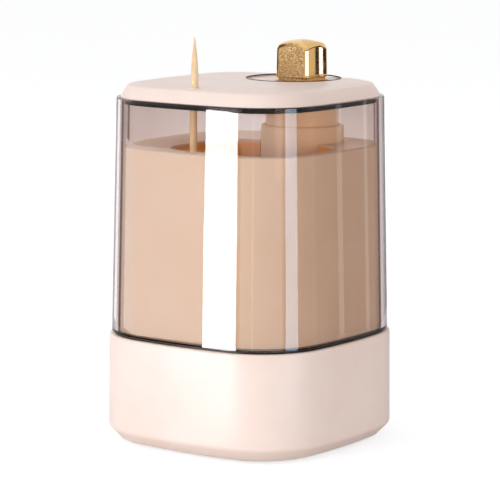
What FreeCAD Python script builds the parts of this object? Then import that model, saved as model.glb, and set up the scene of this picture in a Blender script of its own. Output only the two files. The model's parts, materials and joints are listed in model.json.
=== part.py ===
"""Press-button toothpick dispenser: a rounded square body with a base, a clear sleeve over a
toothpick bin, and a lift-off lid that carries the button. Pressing the button tips a lever in
the base, which drops the lifter to the bin floor. Letting go raises it with one toothpick.

Millimetres. +Z is up, the front is -Y, and the origin is the middle of the feet on the table.
"""
import FreeCAD, Part
import math
import os

V = FreeCAD.Vector
X_AXIS = V(1, 0, 0)
UP = V(0, 0, 1)

# ---------------------------------------------------------------- driving sizes
# Body outline at its widest level: a square with bowed sides and large corners
body_half_width = 37.5
body_side_radius = 172.5
body_corner_radius = 22.5

# Base: shell, bottom plate and feet
foot_proud = 0.6
foot_radius = 4.5
foot_sunk = 0.8
foot_inset = 10.0
base_taper = 0.26
base_bottom_round = 4.4
base_top_round = 0.5
base_wall = 2.6
base_deck = 2.0
plate_inset = 6.0
plate_thickness = 2.0
plate_recess = 0.4
plate_gap = 0.3

# Clear sleeve and the gasket under it
gasket_thickness = 0.7
gasket_inset = 0.65
sleeve_step = 0.78
sleeve_taper = 1.63
sleeve_wall = 2.0
sleeve_lip_height = 1.5
sleeve_lip_width = 3.6

# Bin shell inside the sleeve, with its deck and its floor plate
bin_shell_gap = 0.55
bin_shell_wall = 1.8
bin_shell_below_lid = 14.3
bin_shell_edge_round = 0.7
deck_thickness = 1.6
floor_plate_gap = 0.25
bin_left = -14.5
bin_right_inset = 9.0
bin_front_step = 0.5
bin_back_step = 7.0
bin_corner_radius = 12.0
bin_wall = 1.6
ramp_low_thickness = 1.3
ramp_high_thickness = 2.6
ramp_gap = 0.2

# Toothpick, standing on the lifter
pick_inset = 9.5
pick_length = 65.0
pick_radius = 1.07
pick_tip_radius = 0.12
pick_foot_radius = 0.45
pick_tip_length = 9.5
pick_foot_length = 6.0
pick_headroom = 2.4

# Lifter, its guide and its cross pin
lifter_radius = 1.9
lifter_stroke = 22.0
lifter_low_gap = 0.1
lifter_cup_depth = 0.8
lifter_cup_radius = 1.3
lifter_tail = 2.4
lifter_fit = 0.15
lifter_pin_radius = 1.0
lifter_pin_length = 10.0
guide_half_width = 4.0
guide_back_wall = 0.35
guide_below_deck = 2.5
guide_slot = 2.7
guide_fit = 0.1

# Button, stem and clip
button_x = 7.0
button_width = 12.0
button_depth = 12.0
button_edge_round = 1.0
button_side_height = 9.7
button_crown = 2.1
button_foot_height = 0.9
button_foot_inset = 0.3
button_skirt = 9.0
button_fit = 0.25
stem_radius = 2.5
stem_fit = 0.1
stem_in_button = 5.0
stem_hole_gap = 0.6
clip_radius = 4.4
clip_thickness = 0.8
clip_groove_depth = 0.5
clip_groove_gap = 0.05

# Lid, its seal, the bezel round the button and the outlet bush
lid_height = 4.3
lid_step = 1.03
lid_taper = 2.35
lid_edge_round = 4.6
lid_top_thickness = 2.7
plug_wall = 1.0
plug_depth = 1.8
seal_gap = 0.25
seal_width = 1.8
seal_seat_gap = 0.1
bezel_offset = 3.0
bezel_inset = 3.2
bezel_radius = 13.8
bezel_thickness = 1.2
bezel_recess_depth = 1.7
bezel_gap = 0.3
lid_pad_depth = 1.9
lid_pad_margin = 1.5
ear_past_pad = 0.5
round_end_flat = 0.1
outlet_radius = 1.3
outlet_wall = 0.5
outlet_flange_radius = 2.6
outlet_flange_thickness = 0.9
outlet_fit = 0.05
outlet_pocket_gap = 0.5

# Guide tube under the lid, and the housing that it slides into
tube_radius = 10.7
tube_wall = 1.9
tube_depth = 17.4
tube_web = 2.5
tube_flange_thickness = 1.5
tube_screw_step = 3.0
tube_ear_end = 2.8
tube_ear_half_width = 5.0
housing_wall = 1.3
housing_below_pad = 9.0
housing_bore_radius = 7.0
housing_socket_fit = 0.25
housing_socket_gap = 0.4
housing_hole_gap = 0.15
housing_screw_edge = 2.65
housing_screw_count = 3

# Lever, its bracket and its pivot pin
pivot_inset = 9.5
lever_thickness = 3.0
lever_hub_radius = 3.4
lever_hub_length = 12.0
lever_waist = 9.0
lever_side_gap = 0.3
fork_height = 3.9
fork_gap = 0.5
fork_prong = 2.2
fork_crotch = 5.0
fork_slot_gap = 0.1
fork_slot_end_gap = 0.2
fork_tip_wall = 1.2
fork_room = 2.7
fork_floor_room = 2.9
pivot_radius = 1.5
pivot_fit = 0.05
pivot_head_radius = 2.4
pivot_head_length = 1.0
pivot_tail_length = 1.8
pivot_clip_radius = 2.6
bracket_wall = 2.0
bracket_ear_round = 3.0
bracket_reach = 9.5
bracket_screw_offset = 4.0
bracket_screw_reach = 6.5
stem_contact_gap = 0.1

# Springs
spring_end_gap = 0.05
button_spring_radius = 4.6
button_spring_wire = 0.45
button_spring_turns = 5
lever_spring_step = 5.0
lever_spring_radius = 3.4
lever_spring_wire = 0.4
lever_spring_turns = 6

# Screws
screw_shaft_radius = 1.1
screw_hole_gap = 0.02
screw_head_radius = 2.2
screw_head_height = 1.4
screw_slot_width = 0.7
screw_slot_share = 0.7
screw_slot_depth = 0.7
small_screw_shaft_radius = 0.9
small_screw_head_radius = 1.6
small_screw_head_height = 1.0
base_screw_inset = 4.5
base_screw_y = 8.0
base_screw_bite = 7.0
base_boss_radius = 3.2
shell_screw_inset_x = 10.5
shell_screw_inset_y = 17.5
shell_screw_bite = 8.0
shell_boss_radius = 3.0
shell_boss_height = 11.0
housing_screw_bite = 7.0
bracket_screw_bite = 1.6
tube_screw_bite = 1.8

over = 1.0  # how far a cutting tool runs past the face that it opens

# ---------------------------------------------------------------- widths worked out from them
base_top_half_width = body_half_width - base_taper
plate_half_width = body_half_width - plate_inset
sleeve_bottom_half_width = base_top_half_width - sleeve_step
sleeve_top_half_width = sleeve_bottom_half_width - sleeve_taper
sleeve_lip_half_width = sleeve_bottom_half_width - sleeve_lip_width
lid_bottom_half_width = sleeve_top_half_width - lid_step
lid_top_half_width = lid_bottom_half_width - lid_taper
plug_half_width = sleeve_top_half_width - sleeve_wall - seal_gap - seal_width - seal_seat_gap
tube_bore_radius = tube_radius - tube_wall
tube_screw_reach = tube_radius + tube_screw_step
tube_ear_reach = tube_screw_reach + tube_ear_end
housing_radius = tube_radius + housing_socket_fit + housing_wall
housing_screw_ring = housing_radius - housing_screw_edge

# ---------------------------------------------------------------- places in plan
pick_y = pick_inset - body_half_width
pivot_y = body_half_width - pivot_inset
button_y = lid_bottom_half_width - bezel_inset - bezel_gap - bezel_radius
bezel_x = button_x - bezel_offset
bin_right = body_half_width - bin_right_inset
bin_front = pick_y + bin_front_step
bin_back = button_y - bin_back_step
foot_offset = plate_half_width - foot_inset
base_screw_x = plate_half_width - base_screw_inset
shell_screw_x = body_half_width - shell_screw_inset_x
shell_screw_y = body_half_width - shell_screw_inset_y
bracket_front = pivot_y - bracket_reach
bracket_screw_y = pivot_y - bracket_screw_reach
lever_spring_y = button_y - lever_spring_step

# ---------------------------------------------------------------- heights worked out from them
# The base is as tall as the lever train needs, and the sleeve as tall as a toothpick in the bin
base_height = (plate_recess + plate_thickness + fork_floor_room + lifter_stroke + fork_room
               + base_deck)
sleeve_height = (sleeve_lip_height + ramp_high_thickness + pick_length + pick_headroom
                 - (lid_height - lid_top_thickness))
base_bottom = foot_proud
base_top = base_bottom + base_height
deck_under = base_top - base_deck
plate_bottom = base_bottom + plate_recess
plate_top = plate_bottom + plate_thickness
sleeve_bottom = base_top + gasket_thickness
sleeve_top = sleeve_bottom + sleeve_height
floor_top = sleeve_bottom + sleeve_lip_height
bin_shell_top = sleeve_top - bin_shell_below_lid
bin_deck_under = bin_shell_top - deck_thickness
lid_bottom = sleeve_top
lid_top = lid_bottom + lid_height
lid_under = lid_top - lid_top_thickness
plug_bottom = lid_bottom - plug_depth
pad_bottom = lid_under - lid_pad_depth
bezel_seat = lid_top - bezel_recess_depth
tube_flange_bottom = pad_bottom - tube_flange_thickness
tube_bottom = tube_flange_bottom - tube_depth
tube_web_top = tube_bottom + tube_web
housing_top = pad_bottom - housing_below_pad
housing_socket_floor = tube_bottom - housing_socket_gap
button_bottom = lid_top - button_skirt
button_foot_top = lid_top + button_foot_height
button_top = lid_top + button_side_height + button_crown
lifter_top = floor_top + ramp_low_thickness - lifter_low_gap + lifter_stroke
pick_bottom = lifter_top - lifter_cup_depth
pick_top = pick_bottom + pick_length
guide_top = bin_deck_under - guide_below_deck

# Lever geometry: its pin is as far under the deck at rest as it is over the plate when pressed
lifter_pin_z = deck_under - fork_room
pivot_z = lifter_pin_z - lifter_stroke / 2
lifter_arm = pivot_y - pick_y
stem_arm = pivot_y - button_y
lever_tilt = math.degrees(math.atan2(lifter_stroke / 2, lifter_arm))
button_travel = lifter_stroke * stem_arm / lifter_arm
stem_ball_z = (pivot_z + button_travel / 2 + stem_contact_gap
               + (stem_radius + lever_thickness / 2) / math.cos(math.radians(lever_tilt)))


# ---------------------------------------------------------------- shape helpers
def arc_edge(centre, radius, start, end, z, turn):
    """Arc about (x, y) centre from start to end, in radians, all turned about the body's axis."""
    points = []
    for angle in (start, (start + end) / 2, end):
        x = centre[0] + radius * math.cos(angle)
        y = centre[1] + radius * math.sin(angle)
        points.append(V(x * math.cos(turn) - y * math.sin(turn),
                        x * math.sin(turn) + y * math.cos(turn), z))
    return Part.Arc(*points).toShape()


def body_wire(half_width, z):
    """The body's outline moved in or out to half_width: four bowed sides and four corner arcs."""
    inset = body_half_width - half_width
    side_back = body_side_radius - body_half_width
    reach = body_side_radius - body_corner_radius
    corner = (math.sqrt(2 * reach ** 2 - side_back ** 2) - side_back) / 2
    join = math.atan2(corner, corner + side_back)
    edges = []
    for quarter in range(4):
        turn = quarter * math.pi / 2
        edges.append(arc_edge((-side_back, 0), body_side_radius - inset, -join, join, z, turn))
        edges.append(arc_edge((corner, corner), body_corner_radius - inset,
                              join, math.pi / 2 - join, z, turn))
    return Part.Wire(edges)


def body_prism(half_width, z0, z1):
    return Part.Face(body_wire(half_width, z0)).extrude(UP * (z1 - z0))


def body_loft(half_width_0, z0, half_width_1, z1):
    return Part.makeLoft([body_wire(half_width_0, z0), body_wire(half_width_1, z1)], True, True)


def rounded_prism(x0, x1, y0, y1, radius, z0, z1):
    """Upright prism on a rectangle with round corners."""
    quarter = math.pi / 2
    corners = [(x1 - radius, y0 + radius, -quarter), (x1 - radius, y1 - radius, 0.0),
               (x0 + radius, y1 - radius, quarter), (x0 + radius, y0 + radius, 2 * quarter)]
    arcs = []
    for x, y, start in corners:
        arcs.append(arc_edge((x, y), radius, start, start + quarter, z0, 0.0))
    edges = []
    for index, arc in enumerate(arcs):
        edges.append(arc)
        following = arcs[(index + 1) % len(arcs)]
        start = arc.Vertexes[-1].Point
        end = following.Vertexes[0].Point
        edges.append(Part.LineSegment(start, end).toShape())
    return Part.Face(Part.Wire(edges)).extrude(UP * (z1 - z0))


def box(x0, x1, y0, y1, z0, z1):
    return Part.makeBox(x1 - x0, y1 - y0, z1 - z0, V(x0, y0, z0))


def rod(radius, z0, z1, x=0.0, y=0.0):
    return Part.makeCylinder(radius, z1 - z0, V(x, y, z0))


def cross_rod(radius, x0, x1, y, z):
    return Part.makeCylinder(radius, x1 - x0, V(x0, y, z), X_AXIS)


def extruded_polygon(points, direction):
    return Part.Face(Part.makePolygon(points + points[:1])).extrude(direction)


def edges_at(shape, z):
    """Edges that lie wholly at height z."""
    found = []
    for edge in shape.Edges:
        bounds = edge.BoundBox
        if abs(bounds.ZMin - z) < 1e-4 and abs(bounds.ZMax - z) < 1e-4:
            found.append(edge)
    return found


def one_solid(shape):
    """The single solid of a boolean's result, with its faces merged."""
    return shape.removeSplitter().Solids[0]


def cap_screw(x, y, seat, bite, shaft_radius, head_radius, head_height):
    """Screw driven upwards, its head's bearing face at seat and its shaft bite above it."""
    screw = rod(head_radius, seat - head_height, seat, x, y).fuse(
        rod(shaft_radius, seat, seat + bite, x, y))
    arm = head_radius * screw_slot_share
    half = screw_slot_width / 2
    low = seat - head_height
    depth = min(screw_slot_depth, head_height / 2)
    across = box(x - arm, x + arm, y - half, y + half, low - over, low + depth)
    along = box(x - half, x + half, y - arm, y + arm, low - over, low + depth)
    return one_solid(screw.cut(across).cut(along))


def coil_spring(x, y, z0, z1, radius, wire, turns):
    """Round-wire helix between two seats."""
    rise = z1 - z0 - 2 * (wire + spring_end_gap)
    helix = Part.makeHelix(rise / turns, rise, radius)
    start = V(radius, 0, 0)
    tangent = V(0, 2 * math.pi * radius, rise / turns)
    section = Part.Wire([Part.makeCircle(wire, start, tangent)])
    coil = Part.Wire(helix).makePipeShell([section], True, True)
    coil.translate(V(x, y, z0 + wire + spring_end_gap))
    return coil


def sleeve_outer(z):
    """Half width of the sleeve's outside at height z: it narrows evenly upwards."""
    share = (z - sleeve_bottom) / sleeve_height
    return sleeve_bottom_half_width + share * (sleeve_top_half_width - sleeve_bottom_half_width)


def sleeve_inner(z):
    return sleeve_outer(z) - sleeve_wall


def bin_shell_outer(z):
    return sleeve_inner(z) - bin_shell_gap


base_screw_places = [(sx * base_screw_x, sy * base_screw_y) for sx in (-1, 1) for sy in (-1, 1)]
foot_places = [(sx * foot_offset, sy * foot_offset) for sx in (-1, 1) for sy in (-1, 1)]
shell_screw_places = [(-shell_screw_x, -shell_screw_y), (-shell_screw_x, shell_screw_y),
                      (shell_screw_x, shell_screw_y)]
housing_screw_places = []
for number in range(housing_screw_count):
    bearing = math.pi / 2 + number * 2 * math.pi / housing_screw_count
    housing_screw_places.append((button_x + housing_screw_ring * math.cos(bearing),
                                 button_y + housing_screw_ring * math.sin(bearing)))
bracket_screw_places = [(button_x + side * bracket_screw_offset, bracket_screw_y) for side in (-1, 1)]
tube_screw_places = [(button_x + side * tube_screw_reach, button_y) for side in (-1, 1)]
screw_hole = screw_shaft_radius + screw_hole_gap
small_screw_hole = small_screw_shaft_radius + screw_hole_gap
guide_back = pick_y + lifter_radius + lifter_fit + guide_back_wall
guide_front = bin_shell_wall + guide_fit - bin_shell_outer(guide_top)


# ---------------------------------------------------------------- base
def base_shell():
    """Moulded tub, open below, whose top deck carries the sleeve and the bin."""
    body = body_loft(body_half_width, base_bottom, base_top_half_width, base_top)
    body = body.makeFillet(base_bottom_round, edges_at(body, base_bottom))
    body = body.makeFillet(base_top_round, edges_at(body, base_top))
    body = body.cut(body_prism(base_top_half_width - base_wall, plate_top, deck_under))
    body = body.cut(body_prism(plate_half_width + plate_gap, base_bottom - over, plate_top + over))
    for x, y in base_screw_places:
        body = body.fuse(rod(base_boss_radius, plate_top, deck_under, x, y))
    for x, y in base_screw_places:
        body = body.cut(rod(screw_hole, plate_top - over, plate_top + base_screw_bite, x, y))
    for x, y in shell_screw_places + housing_screw_places:
        body = body.cut(rod(screw_hole, deck_under - over, base_top + over, x, y))
    body = body.cut(rod(lifter_radius + lifter_fit, deck_under - over, base_top + over, 0, pick_y))
    body = body.cut(rod(stem_radius + stem_hole_gap, deck_under - over, base_top + over,
                        button_x, button_y))
    return one_solid(body)


def base_plate():
    """Bottom cover with sunk seats for its screws and feet."""
    plate = body_prism(plate_half_width, plate_bottom, plate_top)
    for x, y in base_screw_places:
        plate = plate.cut(rod(screw_head_radius + plate_gap, plate_bottom - over,
                              plate_bottom + screw_head_height, x, y))
        plate = plate.cut(rod(screw_hole, plate_bottom, plate_top + over, x, y))
    for x, y in foot_places:
        plate = plate.cut(rod(foot_radius, plate_bottom - over, plate_bottom + foot_sunk, x, y))
    for x, y in bracket_screw_places:
        plate = plate.cut(rod(screw_hole, plate_top - bracket_screw_bite, plate_top + over, x, y))
    return one_solid(plate)


def base_screws():
    screws = []
    for x, y in base_screw_places:
        seat = plate_bottom + screw_head_height
        bite = plate_top - seat + base_screw_bite
        screws.append(cap_screw(x, y, seat, bite, screw_shaft_radius, screw_head_radius,
                                screw_head_height))
    return Part.makeCompound(screws)


def feet():
    pads = []
    for x, y in foot_places:
        pads.append(rod(foot_radius, 0.0, plate_bottom + foot_sunk, x, y))
    return Part.makeCompound(pads)


# ---------------------------------------------------------------- lever train in the base
ear_inner = lever_hub_length / 2 + lever_side_gap
ear_outer = ear_inner + bracket_wall


def lever_bracket():
    """Folded bracket on the plate whose two ears hold the pivot pin."""
    bracket = box(button_x - ear_outer, button_x + ear_outer, bracket_front,
                  pivot_y + bracket_ear_round, plate_top, plate_top + bracket_wall)
    for low, high in ((-ear_outer, -ear_inner), (ear_inner, ear_outer)):
        ear = box(button_x + low, button_x + high, pivot_y - bracket_ear_round,
                  pivot_y + bracket_ear_round, plate_top, pivot_z)
        ear = ear.fuse(cross_rod(bracket_ear_round, button_x + low, button_x + high,
                                 pivot_y, pivot_z))
        bracket = bracket.fuse(ear)
    bracket = bracket.cut(cross_rod(pivot_radius + pivot_fit, button_x - ear_outer - over,
                                    button_x + ear_outer + over, pivot_y, pivot_z))
    for x, y in bracket_screw_places:
        bracket = bracket.cut(rod(screw_hole, plate_top - over, plate_top + bracket_wall + over,
                                  x, y))
    return one_solid(bracket)


def bracket_screws():
    """Driven downwards through the bracket into the plate."""
    screws = []
    seat = plate_top + bracket_wall
    for x, y in bracket_screw_places:
        screw = cap_screw(x, y, seat, bracket_wall + bracket_screw_bite, screw_shaft_radius,
                          screw_head_radius, screw_head_height)
        screws.append(screw.mirror(V(x, y, seat), UP))
    return Part.makeCompound(screws)


def pivot_pin():
    """Headed pin with a plain tail for its clip."""
    left = button_x - ear_outer
    right = button_x + ear_outer
    pin = cross_rod(pivot_radius, left, right + pivot_tail_length, pivot_y, pivot_z)
    pin = pin.fuse(cross_rod(pivot_head_radius, left - pivot_head_length, left, pivot_y, pivot_z))
    return one_solid(pin)


def pivot_clip():
    start = button_x + ear_outer
    ring = cross_rod(pivot_clip_radius, start, start + clip_thickness, pivot_y, pivot_z)
    return ring.cut(cross_rod(pivot_radius + clip_groove_gap, start - over,
                              start + clip_thickness + over, pivot_y, pivot_z)).Solids[0]


def lever():
    """Drawn level about its pivot, then tilted to its rest position, fork end up."""
    half_hub = lever_hub_length / 2
    half_fork = lifter_radius + fork_gap + fork_prong
    crotch = lifter_arm - fork_crotch
    low = -lever_thickness / 2
    outline = [V(button_x - half_hub, 0, low), V(button_x - lever_waist / 2, -stem_arm, low),
               V(-half_fork, -crotch, low), V(half_fork, -crotch, low),
               V(button_x + lever_waist / 2, -stem_arm, low), V(button_x + half_hub, 0, low)]
    shape = extruded_polygon(outline, UP * lever_thickness)
    shape = shape.fuse(cross_rod(lever_hub_radius, button_x - half_hub, button_x + half_hub, 0, 0))
    slot_reach = lifter_arm / math.cos(math.radians(lever_tilt))
    slot_radius = lifter_pin_radius + fork_slot_gap
    slot_near = lifter_arm - fork_slot_end_gap
    slot_far = slot_reach + fork_slot_end_gap
    tip = slot_far + slot_radius + fork_tip_wall
    half_height = fork_height / 2
    prongs = box(-half_fork, half_fork, -tip + half_height, -crotch, -half_height, half_height)
    prongs = prongs.fuse(cross_rod(half_height, -half_fork, half_fork, -tip + half_height, 0))
    heel = box(-half_fork, half_fork, -crotch, -crotch + fork_height, -half_height, half_height)
    gap = lifter_radius + fork_gap
    prongs = prongs.cut(box(-gap, gap, -tip - over, -crotch, -fork_height, fork_height))
    shape = shape.fuse(prongs).fuse(heel)
    shape = shape.cut(box(-half_fork - over, half_fork + over, -slot_far, -slot_near,
                          -slot_radius, slot_radius))
    for reach in (slot_near, slot_far):
        shape = shape.cut(cross_rod(slot_radius, -half_fork - over, half_fork + over, -reach, 0))
    shape = shape.cut(cross_rod(pivot_radius + pivot_fit, button_x - half_hub - over,
                                button_x + half_hub + over, 0, 0))
    shape = one_solid(shape)
    shape.rotate(V(0, 0, 0), X_AXIS, -lever_tilt)
    shape.translate(V(0, pivot_y, pivot_z))
    return shape


def lever_spring():
    """Stands on the plate and holds the lever up."""
    slope = math.tan(math.radians(lever_tilt))
    drop = lever_thickness / 2 / math.cos(math.radians(lever_tilt))
    nearest = pivot_y - lever_spring_y - lever_spring_radius - lever_spring_wire
    seat = pivot_z + nearest * slope - drop
    return coil_spring(button_x, lever_spring_y, plate_top, seat, lever_spring_radius,
                       lever_spring_wire, lever_spring_turns)


def lifter():
    """Push rod with a cup for the toothpick and a cross hole for its pin."""
    bar = rod(lifter_radius, lifter_pin_z - lifter_tail, lifter_top, 0, pick_y)
    bar = bar.cut(rod(lifter_cup_radius, pick_bottom, lifter_top + over, 0, pick_y))
    bar = bar.cut(cross_rod(lifter_pin_radius + screw_hole_gap, -lifter_radius - over,
                            lifter_radius + over, pick_y, lifter_pin_z))
    return one_solid(bar)


def lifter_pin():
    half = lifter_pin_length / 2
    return cross_rod(lifter_pin_radius, -half, half, pick_y, lifter_pin_z)


# ---------------------------------------------------------------- sleeve and bin
def sleeve_gasket():
    ring = body_prism(sleeve_bottom_half_width - gasket_inset, base_top, sleeve_bottom)
    return ring.cut(body_prism(sleeve_lip_half_width, base_top - over, sleeve_bottom + over)).Solids[0]


def clear_sleeve():
    """Clear tapered tube with a lip at its foot that the bin shell clamps down."""
    sleeve = body_loft(sleeve_bottom_half_width, sleeve_bottom, sleeve_top_half_width, sleeve_top)
    end = sleeve_top + over
    sleeve = sleeve.cut(body_loft(sleeve_inner(floor_top), floor_top, sleeve_inner(end), end))
    sleeve = sleeve.cut(body_prism(sleeve_lip_half_width, sleeve_bottom - over, floor_top + over))
    return sleeve.Solids[0]


def floor_plate():
    """Plate between the base deck and the bin, inside the sleeve's lip."""
    plate = body_prism(sleeve_lip_half_width - floor_plate_gap, base_top, floor_top)
    for x, y in shell_screw_places + housing_screw_places:
        plate = plate.cut(rod(screw_hole, base_top - over, floor_top + over, x, y))
    plate = plate.cut(rod(lifter_radius + lifter_fit, base_top - over, floor_top + over, 0, pick_y))
    plate = plate.cut(rod(stem_radius + stem_hole_gap, base_top - over, floor_top + over,
                          button_x, button_y))
    return one_solid(plate)


def bin_shell():
    """Coloured shell seen through the sleeve: outer wall, deck and the walls of the bin."""
    outside = body_loft(bin_shell_outer(floor_top), floor_top,
                        bin_shell_outer(bin_shell_top), bin_shell_top)
    inside = body_loft(bin_shell_outer(floor_top) - bin_shell_wall, floor_top,
                       bin_shell_outer(bin_deck_under) - bin_shell_wall, bin_deck_under)
    shell = outside.makeFillet(bin_shell_edge_round, edges_at(outside, bin_shell_top))
    shell = shell.cut(inside)
    # The bin's right wall runs into the outer wall
    to_outer_wall = bin_shell_outer(floor_top) - bin_right
    walls = rounded_prism(bin_left - bin_wall, bin_right + to_outer_wall, bin_front - bin_wall,
                          bin_back + bin_wall, bin_corner_radius + bin_wall,
                          floor_top, bin_deck_under)
    for x, y in shell_screw_places:
        walls = walls.fuse(rod(shell_boss_radius, floor_top, floor_top + shell_boss_height, x, y))
    shell = shell.fuse(walls.common(outside))
    shell = shell.cut(rounded_prism(bin_left, bin_right, bin_front, bin_back, bin_corner_radius,
                                    floor_top - over, bin_shell_top + over))
    for x, y in shell_screw_places:
        shell = shell.cut(rod(screw_hole, floor_top - over, floor_top + shell_screw_bite, x, y))
    shell = shell.cut(rod(housing_radius + housing_hole_gap, floor_top - over,
                          bin_shell_top + over, button_x, button_y))
    # Room for the lifter's guide in the front wall, and the toothpick's way up through the deck
    half_room = guide_half_width + guide_fit
    shell = shell.cut(box(-half_room, half_room, guide_front - guide_fit / 2, bin_front + over,
                          floor_top - over, guide_top + guide_fit))
    bore = lifter_radius + lifter_fit
    shell = shell.cut(rod(bore, guide_top, bin_shell_top + over, 0, pick_y))
    shell = shell.cut(box(-bore, bore, pick_y, bin_front + over, guide_top, bin_shell_top + over))
    return one_solid(shell)


def shell_screws():
    screws = []
    for x, y in shell_screw_places:
        bite = floor_top - deck_under + shell_screw_bite
        screws.append(cap_screw(x, y, deck_under, bite, screw_shaft_radius, screw_head_radius,
                                screw_head_height))
    return Part.makeCompound(screws)


def bin_ramp():
    """Loose floor of the bin, which slopes down to the lifter."""
    plan = rounded_prism(bin_left + ramp_gap, bin_right - ramp_gap, bin_front + ramp_gap,
                         bin_back - ramp_gap, bin_corner_radius - ramp_gap, floor_top,
                         floor_top + ramp_high_thickness + over)
    side = [V(bin_left, bin_front, floor_top), V(bin_left, bin_back, floor_top),
            V(bin_left, bin_back, floor_top + ramp_high_thickness),
            V(bin_left, bin_front, floor_top + ramp_low_thickness)]
    wedge = extruded_polygon(side, X_AXIS * (bin_right - bin_left))
    ramp = plan.common(wedge)
    ramp = ramp.cut(rod(housing_radius + ramp_gap, floor_top - over,
                        floor_top + ramp_high_thickness + over, button_x, button_y))
    half_room = guide_half_width + ramp_gap
    ramp = ramp.cut(box(-half_room, half_room, bin_front - over, guide_back + ramp_gap,
                        floor_top - over, floor_top + ramp_high_thickness + over))
    return one_solid(ramp)


def lifter_guide():
    """Upright channel for the lifter, slotted towards the bin so that one toothpick rolls in."""
    block = box(-guide_half_width, guide_half_width, guide_front, guide_back, floor_top, guide_top)
    bore = lifter_radius + lifter_fit
    block = block.cut(rod(bore, floor_top - over, guide_top + over, 0, pick_y))
    block = block.cut(box(-guide_slot / 2, guide_slot / 2, pick_y, guide_back + over,
                          floor_top - over, guide_top + over))
    return one_solid(block)


def rod_housing():
    """Upright tube round the button's stem, with a socket at its top for the lid's guide tube."""
    tube = rod(housing_radius, floor_top, housing_top, button_x, button_y)
    tube = tube.cut(rod(housing_bore_radius, floor_top - over, housing_top, button_x, button_y))
    tube = tube.cut(rod(tube_radius + housing_socket_fit, housing_socket_floor,
                        housing_top + over, button_x, button_y))
    for x, y in housing_screw_places:
        tube = tube.cut(rod(screw_hole, floor_top - over, floor_top + housing_screw_bite, x, y))
    return one_solid(tube)


def housing_screws():
    screws = []
    for x, y in housing_screw_places:
        bite = floor_top - deck_under + housing_screw_bite
        screws.append(cap_screw(x, y, deck_under, bite, screw_shaft_radius, screw_head_radius,
                                screw_head_height))
    return Part.makeCompound(screws)


# ---------------------------------------------------------------- lid
def button_hole(z0, z1):
    half_x = button_width / 2 + button_fit
    half_y = button_depth / 2 + button_fit
    return rounded_prism(button_x - half_x, button_x + half_x, button_y - half_y,
                         button_y + half_y, button_edge_round, z0, z1)


def lid_shell():
    """Low cover with a soft shoulder, a plug that enters the sleeve and a pad for the button."""
    lid = body_loft(lid_bottom_half_width, lid_bottom, lid_top_half_width, lid_top)
    lid = lid.makeFillet(lid_edge_round, edges_at(lid, lid_top))
    plug = body_prism(plug_half_width, plug_bottom, lid_bottom + over)
    lid = lid.fuse(plug)
    lid = lid.cut(body_prism(plug_half_width - plug_wall, plug_bottom - over, lid_under))
    reach = bezel_radius + bezel_gap + lid_pad_margin
    pad_right = button_x + tube_ear_reach - ear_past_pad
    pad = rounded_prism(bezel_x - reach, pad_right, button_y - reach, button_y + reach,
                        reach - round_end_flat, pad_bottom, lid_under)
    lid = lid.fuse(pad.common(body_prism(plug_half_width, pad_bottom, lid_under)))
    lid = lid.cut(rod(bezel_radius + bezel_gap, bezel_seat, lid_top + over, bezel_x, button_y))
    lid = lid.cut(button_hole(pad_bottom - over, lid_top + over))
    bush = outlet_radius + outlet_wall + outlet_fit
    lid = lid.cut(rod(bush, lid_under - over, lid_top + over, 0, pick_y))
    lid = lid.cut(rod(outlet_flange_radius + outlet_pocket_gap, plug_bottom - over, lid_under,
                      0, pick_y))
    for x, y in tube_screw_places:
        lid = lid.cut(rod(small_screw_hole, pad_bottom - over, pad_bottom + tube_screw_bite, x, y))
    return one_solid(lid)


def lid_seal():
    """Soft ring round the plug, just inside the sleeve's rim."""
    outer = sleeve_inner(plug_bottom) - seal_gap
    ring = body_loft(outer, plug_bottom, sleeve_inner(lid_bottom) - seal_gap, lid_bottom)
    return ring.cut(body_prism(plug_half_width + seal_seat_gap, plug_bottom - over,
                               lid_bottom + over)).Solids[0]


def button_bezel():
    """Round disc let into the lid, with the square hole that the button slides in."""
    disc = rod(bezel_radius, bezel_seat, bezel_seat + bezel_thickness, bezel_x, button_y)
    return disc.cut(button_hole(bezel_seat - over, bezel_seat + bezel_thickness + over)).Solids[0]


def outlet_bush():
    """Liner of the outlet hole, with a flange under the lid."""
    bush = rod(outlet_radius + outlet_wall, lid_under, lid_top, 0, pick_y)
    bush = bush.fuse(rod(outlet_flange_radius, lid_under - outlet_flange_thickness, lid_under,
                         0, pick_y))
    bush = bush.cut(rod(outlet_radius, lid_under - outlet_flange_thickness - over, lid_top + over,
                        0, pick_y))
    return one_solid(bush)


def guide_tube():
    """Tube under the lid that guides the stem, with two screwed ears and a web at its foot."""
    tube = rod(tube_radius, tube_bottom, pad_bottom, button_x, button_y)
    ears = rounded_prism(button_x - tube_ear_reach, button_x + tube_ear_reach,
                         button_y - tube_ear_half_width, button_y + tube_ear_half_width,
                         tube_ear_half_width - round_end_flat, tube_flange_bottom, pad_bottom)
    tube = tube.fuse(ears)
    tube = tube.cut(rod(tube_bore_radius, tube_web_top, pad_bottom + over, button_x, button_y))
    tube = tube.cut(rod(stem_radius + stem_fit, tube_bottom - over, tube_web_top + over,
                        button_x, button_y))
    for x, y in tube_screw_places:
        tube = tube.cut(rod(small_screw_hole, tube_flange_bottom - over, pad_bottom + over, x, y))
    return one_solid(tube)


def guide_screws():
    screws = []
    for x, y in tube_screw_places:
        screws.append(cap_screw(x, y, tube_flange_bottom, tube_flange_thickness + tube_screw_bite,
                                small_screw_shaft_radius, small_screw_head_radius,
                                small_screw_head_height))
    return Part.makeCompound(screws)


def button_spring():
    return coil_spring(button_x, button_y, tube_web_top, button_bottom, button_spring_radius,
                       button_spring_wire, button_spring_turns)


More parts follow.
